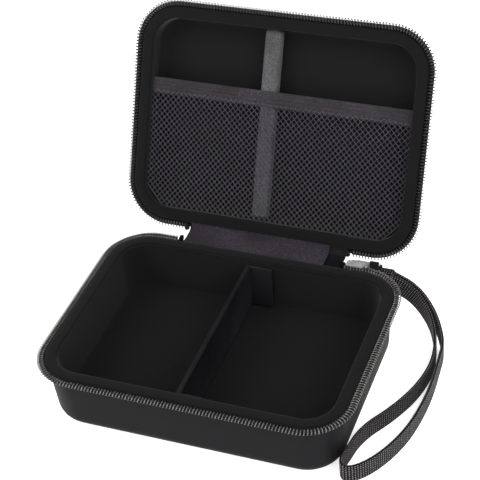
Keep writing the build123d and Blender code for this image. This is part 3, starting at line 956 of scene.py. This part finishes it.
# Lid: padded rib, mesh pocket and its elastic
def make_rib():
    """The rib: jersey wrapped tightly over a foam bar, flat-faced with soft shoulders."""
    lid_floor = LID_HEIGHT - COVER - FOAM - LINING
    block(
        (sum(RIB_X) / 2, 0, (RIB_DEPTH + lid_floor) / 2),
        (RIB_X[1] - RIB_X[0], RIB_LENGTH, lid_floor - RIB_DEPTH),
    )
    bpy.ops.object.mode_set(mode="EDIT")
    pick(
        "edges",
        lambda edge: all(v.co.z < (RIB_DEPTH + 1) * MM for v in edge.verts)
        and abs(edge.verts[0].co.x - edge.verts[1].co.x) < TOUCHING,
    )
    bpy.ops.mesh.bevel(offset=RIB_ROUNDING * MM, segments=6, affect="EDGES")
    slice_along(1, (*range(1, 16), *range(-1, -16, -1)))
    bpy.ops.object.mode_set(mode="OBJECT")
    ripple("rib_slack", 14, 0.5, mid_level=0.6)
    add_modifier("SUBSURF", levels=1, render_levels=1)
    apply_modifiers()
    set_in_half("lid")
    rib = piece("lid_rib_padding", "lid", rib_cloth, smooth=60)
    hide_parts("lid_rib_cover")


def inside_pocket(place, margin):
    """Whether a place in the lid, in millimetres, lies in the pocket's rounded outline."""
    half_width = RIM[0] / 2 - WELL_INSET - margin
    back = RIM[1] / 2 - WELL_INSET - margin
    corner = RIM_RADIUS - WELL_INSET
    over_x = abs(place.x) - (half_width - corner)
    over_y = place.y - (back - corner)
    if over_x > 0 and over_y > 0:
        return over_x**2 + over_y**2 <= corner**2
    return abs(place.x) <= half_width and BAND_Y[1] - NET_LAP <= place.y <= back


def make_net():
    """The stretched net: warp-knitted diamonds, drawn as thin strands."""
    cells = 70
    middle_y = 20.0
    bpy.ops.mesh.primitive_grid_add(
        x_subdivisions=cells, y_subdivisions=cells, size=cells, rotation=(0, 0, pi / 4)
    )
    bpy.ops.object.transform_apply(location=True, rotation=True, scale=True)
    net = bpy.context.object
    net.scale = (NET_CELL[0] / 2**0.5 * MM, NET_CELL[1] / 2**0.5 * MM, 1)
    net.location = metres((0, middle_y, NET_DEPTH + NET_LIFT))
    bpy.ops.object.transform_apply(location=True, rotation=True, scale=True)
    bpy.ops.object.mode_set(mode="EDIT")
    pick("faces", lambda face: not inside_pocket(face.calc_center_median() / MM, margin=0.9))
    bpy.ops.mesh.delete(type="FACE")
    bpy.ops.object.mode_set(mode="OBJECT")
    ripple("net_give", 30, 0.7, mid_level=0.5, direction="Z")
    add_modifier("WIREFRAME", thickness=NET_STRAND * MM, use_even_offset=False, use_boundary=True)
    apply_modifiers()
    set_in_half("lid")
    made = piece("pocket_net", "lid", net_yarn_painted_sheen, smooth=60)
    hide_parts("pocket_mesh")
    return made


def make_elastic():
    """Wide elastic along the pocket's mouth: rubber cords side by side under woven ribs."""
    ribs = 4
    pitch = (BAND_Y[1] - BAND_Y[0]) / ribs
    overlap = 0.56
    bpy.ops.mesh.primitive_cylinder_add(
        vertices=10, radius=1, depth=1, rotation=(0, pi / 2, 0), end_fill_type="NGON"
    )
    bpy.ops.object.transform_apply(location=True, rotation=True, scale=True)
    rib = bpy.context.object
    rib.scale = metres((BAND_LENGTH, pitch * overlap, BAND_HALF_THICKNESS))
    rib.location = metres((0, BAND_Y[0] + pitch / 2, NET_DEPTH + BAND_HALF_THICKNESS))
    bpy.ops.object.transform_apply(location=True, rotation=True, scale=True)
    repeat(ribs, (0, pitch, 0))
    apply_modifiers()
    bpy.ops.object.mode_set(mode="EDIT")
    slice_along(0, range(-22, 23))
    bpy.ops.object.mode_set(mode="OBJECT")
    ripple("elastic_ripple", 12, 0.35, mid_level=0.5, direction="Z")
    apply_modifiers()
    set_in_half("lid")
    band = piece("pocket_elastic_band", "lid", elastic_tape, smooth=60)
    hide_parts("pocket_elastic")
    return band


def elastic_stitches():
    """The row of stitches that joins the net to the elastic's lower edge."""
    stitch(place=(-68.6, BAND_Y[1] - 1.0, NET_DEPTH - 0.08), size=(0.85, 0.24, 0.2))
    repeat(count=55, step=(2.5, 0, 0))
    apply_modifiers()
    set_in_half("lid")
    row = piece("pocket_elastic_stitches", "lid", seam_thread, smooth=60)
    return row


def make_seam_tape():
    """The narrow tape that holds the net's three sewn sides to the lining."""
    rim_plate(WELL_INSET + SEAM_TAPE_GAP, NET_DEPTH + 2 * NET_LIFT)
    bpy.ops.mesh.inset(thickness=SEAM_TAPE_WIDTH * MM)
    bpy.ops.mesh.delete(type="FACE")
    bpy.ops.mesh.select_all(action="SELECT")
    bpy.ops.mesh.bisect(
        plane_co=(0, (BAND_Y[1] + SEAM_TAPE_START) * MM, 0),
        plane_no=(0, 1, 0),
        clear_inner=True,
    )
    bpy.ops.object.mode_set(mode="OBJECT")
    add_modifier("SOLIDIFY", thickness=SEAM_TAPE_THICKNESS * MM, offset=1)
    round_edges(0.12)
    apply_modifiers()
    set_in_half("lid")
    tape = piece("pocket_seam_binding", "lid", zip_tape, smooth=40)
    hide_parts("pocket_seam_tape")
    return tape


make_rib()
net = make_net()
band = make_elastic()
band_stitches = elastic_stitches()
seam_binding = make_seam_tape()


# Divider: a covered board whose ends fold back as flaps
def divider_end(z):
    """How far from the middle the divider's ends stand at a height, short of the wall."""
    wall = RIM[1] / 2 - WELL_INSET - (BASE_HEIGHT - SHELL_EDGE - z) * tan(radians(DRAFT))
    return wall - DIVIDER_END_GAP


def covered_board(name, x_range, outline, hem, material):
    """A board in coated cloth, with rounded edges and a pressed hem round its broad faces."""
    bpy.ops.mesh.primitive_plane_add(size=1)
    bpy.ops.object.mode_set(mode="EDIT")
    bpy.ops.mesh.select_all(action="SELECT")
    bpy.ops.mesh.delete(type="VERT")
    shape = bmesh.from_edit_mesh(bpy.context.object.data)
    corners = [shape.verts.new(metres((x_range[0], y, z))) for y, z in outline]
    shape.faces.new(corners)
    bmesh.update_edit_mesh(bpy.context.object.data)
    bpy.ops.mesh.select_all(action="SELECT")
    bpy.ops.mesh.extrude_region_move(
        TRANSFORM_OT_translate={"value": ((x_range[1] - x_range[0]) * MM, 0, 0)}
    )
    bpy.ops.mesh.select_all(action="SELECT")
    bpy.ops.mesh.normals_make_consistent(inside=False)
    if hem:
        pick("faces", lambda face: abs(face.normal.x) > 0.9)
        bpy.ops.mesh.inset(thickness=hem * MM, use_boundary=True)
        bpy.ops.mesh.inset(thickness=HEM_GROOVE_WIDTH * MM, depth=-HEM_GROOVE_DEPTH * MM)
    bpy.ops.object.mode_set(mode="OBJECT")
    round_edges(0.55, segments=3, over=50)
    apply_modifiers()
    return piece(name, "divider", material, smooth=40)


def make_divider():
    """The upright panel with its cover, and its two flaps."""
    left = DIVIDER_X[0]
    low = divider_end(DIVIDER_FLOOR) - DIVIDER_CORNER
    panel = covered_board(
        "divider_panel_cover",
        DIVIDER_X,
        [
            (divider_end(DIVIDER_TOP), DIVIDER_TOP),
            (-divider_end(DIVIDER_TOP), DIVIDER_TOP),
            (-divider_end(FLAP_FOOT), FLAP_FOOT),
            (-low, DIVIDER_FLOOR),
            (low, DIVIDER_FLOOR),
            (divider_end(FLAP_FOOT), FLAP_FOOT),
        ],
        HEM_WIDTH,
        divider_cloth,
    )
    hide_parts("divider_cover", "divider_board")
    for side, name in ((1, "back"), (-1, "front")):
        flap = covered_board(
            f"divider_{name}_flap",
            (left + FLAP_STEP, left + FLAP_WIDTH),
            [
                (side * divider_end(DIVIDER_TOP), DIVIDER_TOP - FLAP_STEP),
                (side * divider_end(FLAP_FOOT), FLAP_FOOT),
                (side * (divider_end(FLAP_FOOT) - FLAP_THICKNESS), FLAP_FOOT),
                (
                    side * (divider_end(DIVIDER_TOP) - FLAP_THICKNESS),
                    DIVIDER_TOP - FLAP_STEP,
                ),
            ],
            0,
            divider_cloth,
        )


make_divider()


# Sewn end of the strap, tied through the slot of the pull
def tab_sleeve():
    """The folded sleeve of webbing that holds both strands."""
    block(TAB_PLACE, TAB_SIZE)
    bpy.ops.object.mode_set(mode="EDIT")
    bpy.ops.mesh.select_all(action="SELECT")
    bpy.ops.mesh.bevel(offset=TAB_ROUNDING * MM, segments=4, affect="EDGES")
    bpy.ops.object.mode_set(mode="OBJECT")
    add_modifier("SUBSURF", levels=1, render_levels=1)
    apply_modifiers()
    bpy.ops.object.mode_set(mode="EDIT")
    bpy.ops.mesh.select_all(action="SELECT")
    bpy.ops.uv.cube_project(cube_size=1.0)
    bpy.ops.object.mode_set(mode="OBJECT")
    bpy.context.object.data.uv_layers[0].name = "thread"
    tab = piece("strap_sewn_tab", "pull", webbing, smooth=50)
    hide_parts("strap_tab")


def tab_loop():
    """The small flat loop that goes through the pull's slot and round its end bar."""
    bpy.ops.mesh.primitive_torus_add(
        location=metres(LOOP_PLACE),
        major_segments=20,
        minor_segments=8,
        major_radius=LOOP_RADIUS * MM,
        minor_radius=LOOP_TAPE_RADIUS * MM,
    )
    bpy.context.object.scale = LOOP_STRETCH
    bpy.ops.object.transform_apply(location=True, rotation=True, scale=True)
    loop = piece("strap_tab_loop", "pull", zip_tape, smooth=60)


def tab_fold():
    """Tape folded over the pull's end, with a leg on each side of it."""
    bpy.ops.mesh.primitive_cylinder_add(
        vertices=20,
        radius=FOLD_RADIUS * MM,
        depth=FOLD_WIDTH * MM,
        location=metres(FOLD_PLACE),
        rotation=(0, pi / 2, 0),
        end_fill_type="NOTHING",
    )
    bpy.ops.object.transform_apply(location=True, rotation=True, scale=True)
    bpy.ops.object.mode_set(mode="EDIT")
    below, above = (FOLD_PLACE[2] - FOLD_SLACK) * MM, (FOLD_PLACE[2] + FOLD_SLACK) * MM
    pick("faces", lambda face: face.calc_center_median().z < below)
    bpy.ops.mesh.delete(type="FACE")
    pick("edges", lambda edge: edge.is_boundary and all(v.co.z < above for v in edge.verts))
    bpy.ops.mesh.extrude_region_move(TRANSFORM_OT_translate={"value": (0, 0, -FOLD_DROP * MM)})
    bpy.ops.object.mode_set(mode="OBJECT")
    add_modifier("SOLIDIFY", thickness=FOLD_THICKNESS * MM, offset=0)
    round_edges(0.2)
    apply_modifiers()
    fold = piece("strap_tab_fold", "pull", zip_tape, smooth=60)


def tab_neck():
    """The flat tape between the loop and the sleeve."""
    block(NECK_PLACE, NECK_SIZE)
    add_modifier("BEVEL", width=NECK_ROUNDING * MM, segments=3)
    apply_modifiers()
    neck = piece("strap_tab_neck", "pull", zip_tape, smooth=50)


def tab_stitches():
    """The bar of stitches across the sleeve's back."""
    stitch(place=(64.6, 68.15, 20.3), size=(0.22, 0.2, 0.62))
    repeat(count=7, step=(0, 0, 1.13))
    apply_modifiers()
    stitches = piece("strap_tab_stitches", "pull", seam_thread, smooth=60)


tab_sleeve()
tab_loop()
tab_fold()
tab_neck()
tab_stitches()


# Pieces that keep their CAD shape
for node, finish in (
    ("slider_body", slider_metal),
    ("slider_crown", slider_metal),
    ("zip_pull", slider_metal),
    ("base_zip_stops", stop_metal),
    ("lid_zip_stops", stop_metal),
    ("base_shell", shell_foam),
    ("lid_shell", shell_foam),
    ("lid_rib_core", shell_foam),
    ("divider_hook_back", hook_tape),
    ("divider_hook_front", hook_tape),
):
    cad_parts[node].data.materials.clear()
    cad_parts[node].data.materials.append(finish)


# Studio: white paper, even white light all round and three soft lamps
def make_studio():
    """White matt paper that runs past the view and glows a little, to lift its shadows."""
    paper, tree, shader = new_material(
        "matt_white_paper", Roughness=0.9, Specular_IOR_Level=0.1, Emission_Strength=0.6
    )
    where = add(tree, "ShaderNodeTexCoord", {})["Object"]
    tint = add(tree, "ShaderNodeTexNoise", {"Vector": where, "Scale": per_mm(400)})
    tone = add(
        tree,
        "ShaderNodeMix",
        {0: tint[0], 6: colour("#fafafa"), 7: colour("#fdfdfd")},
        data_type="RGBA",
    )
    tree.links.new(tone[2], shader.inputs["Base Color"])
    bpy.ops.mesh.primitive_plane_add(size=12, location=(0, 0, -0.0002))
    floor = bpy.context.object
    floor.name = "studio_floor"
    floor.data.materials.append(paper)
    floor.select_set(False)

    world = bpy.data.worlds.new("studio_light")
    bpy.context.scene.world = world
    world.use_nodes = True
    background = world.node_tree.nodes["Background"]
    background.inputs["Color"].default_value = (1, 1, 1, 1)
    background.inputs["Strength"].default_value = 1.0

    lamps = (
        ("lamp_left", (-0.9, -0.5, 1.0), 0.8, 9.0),
        ("lamp_right", (0.9, -0.4, 0.9), 0.7, 10.0),
        ("lamp_front", (0.1, -1.4, 0.7), 0.9, 7.0),
    )
    for name, place, size, power in lamps:
        bpy.ops.object.light_add(type="AREA", location=place)
        lamp = bpy.context.object
        lamp.name = name
        lamp.data.size = size
        lamp.data.energy = power
        aim = Vector((0, 0.02, 0.04)) - Vector(place)
        lamp.rotation_euler = aim.to_track_quat("-Z", "Y").to_euler()
        lamp.select_set(False)


make_studio()
bpy.context.scene.view_settings.view_transform = "Standard"
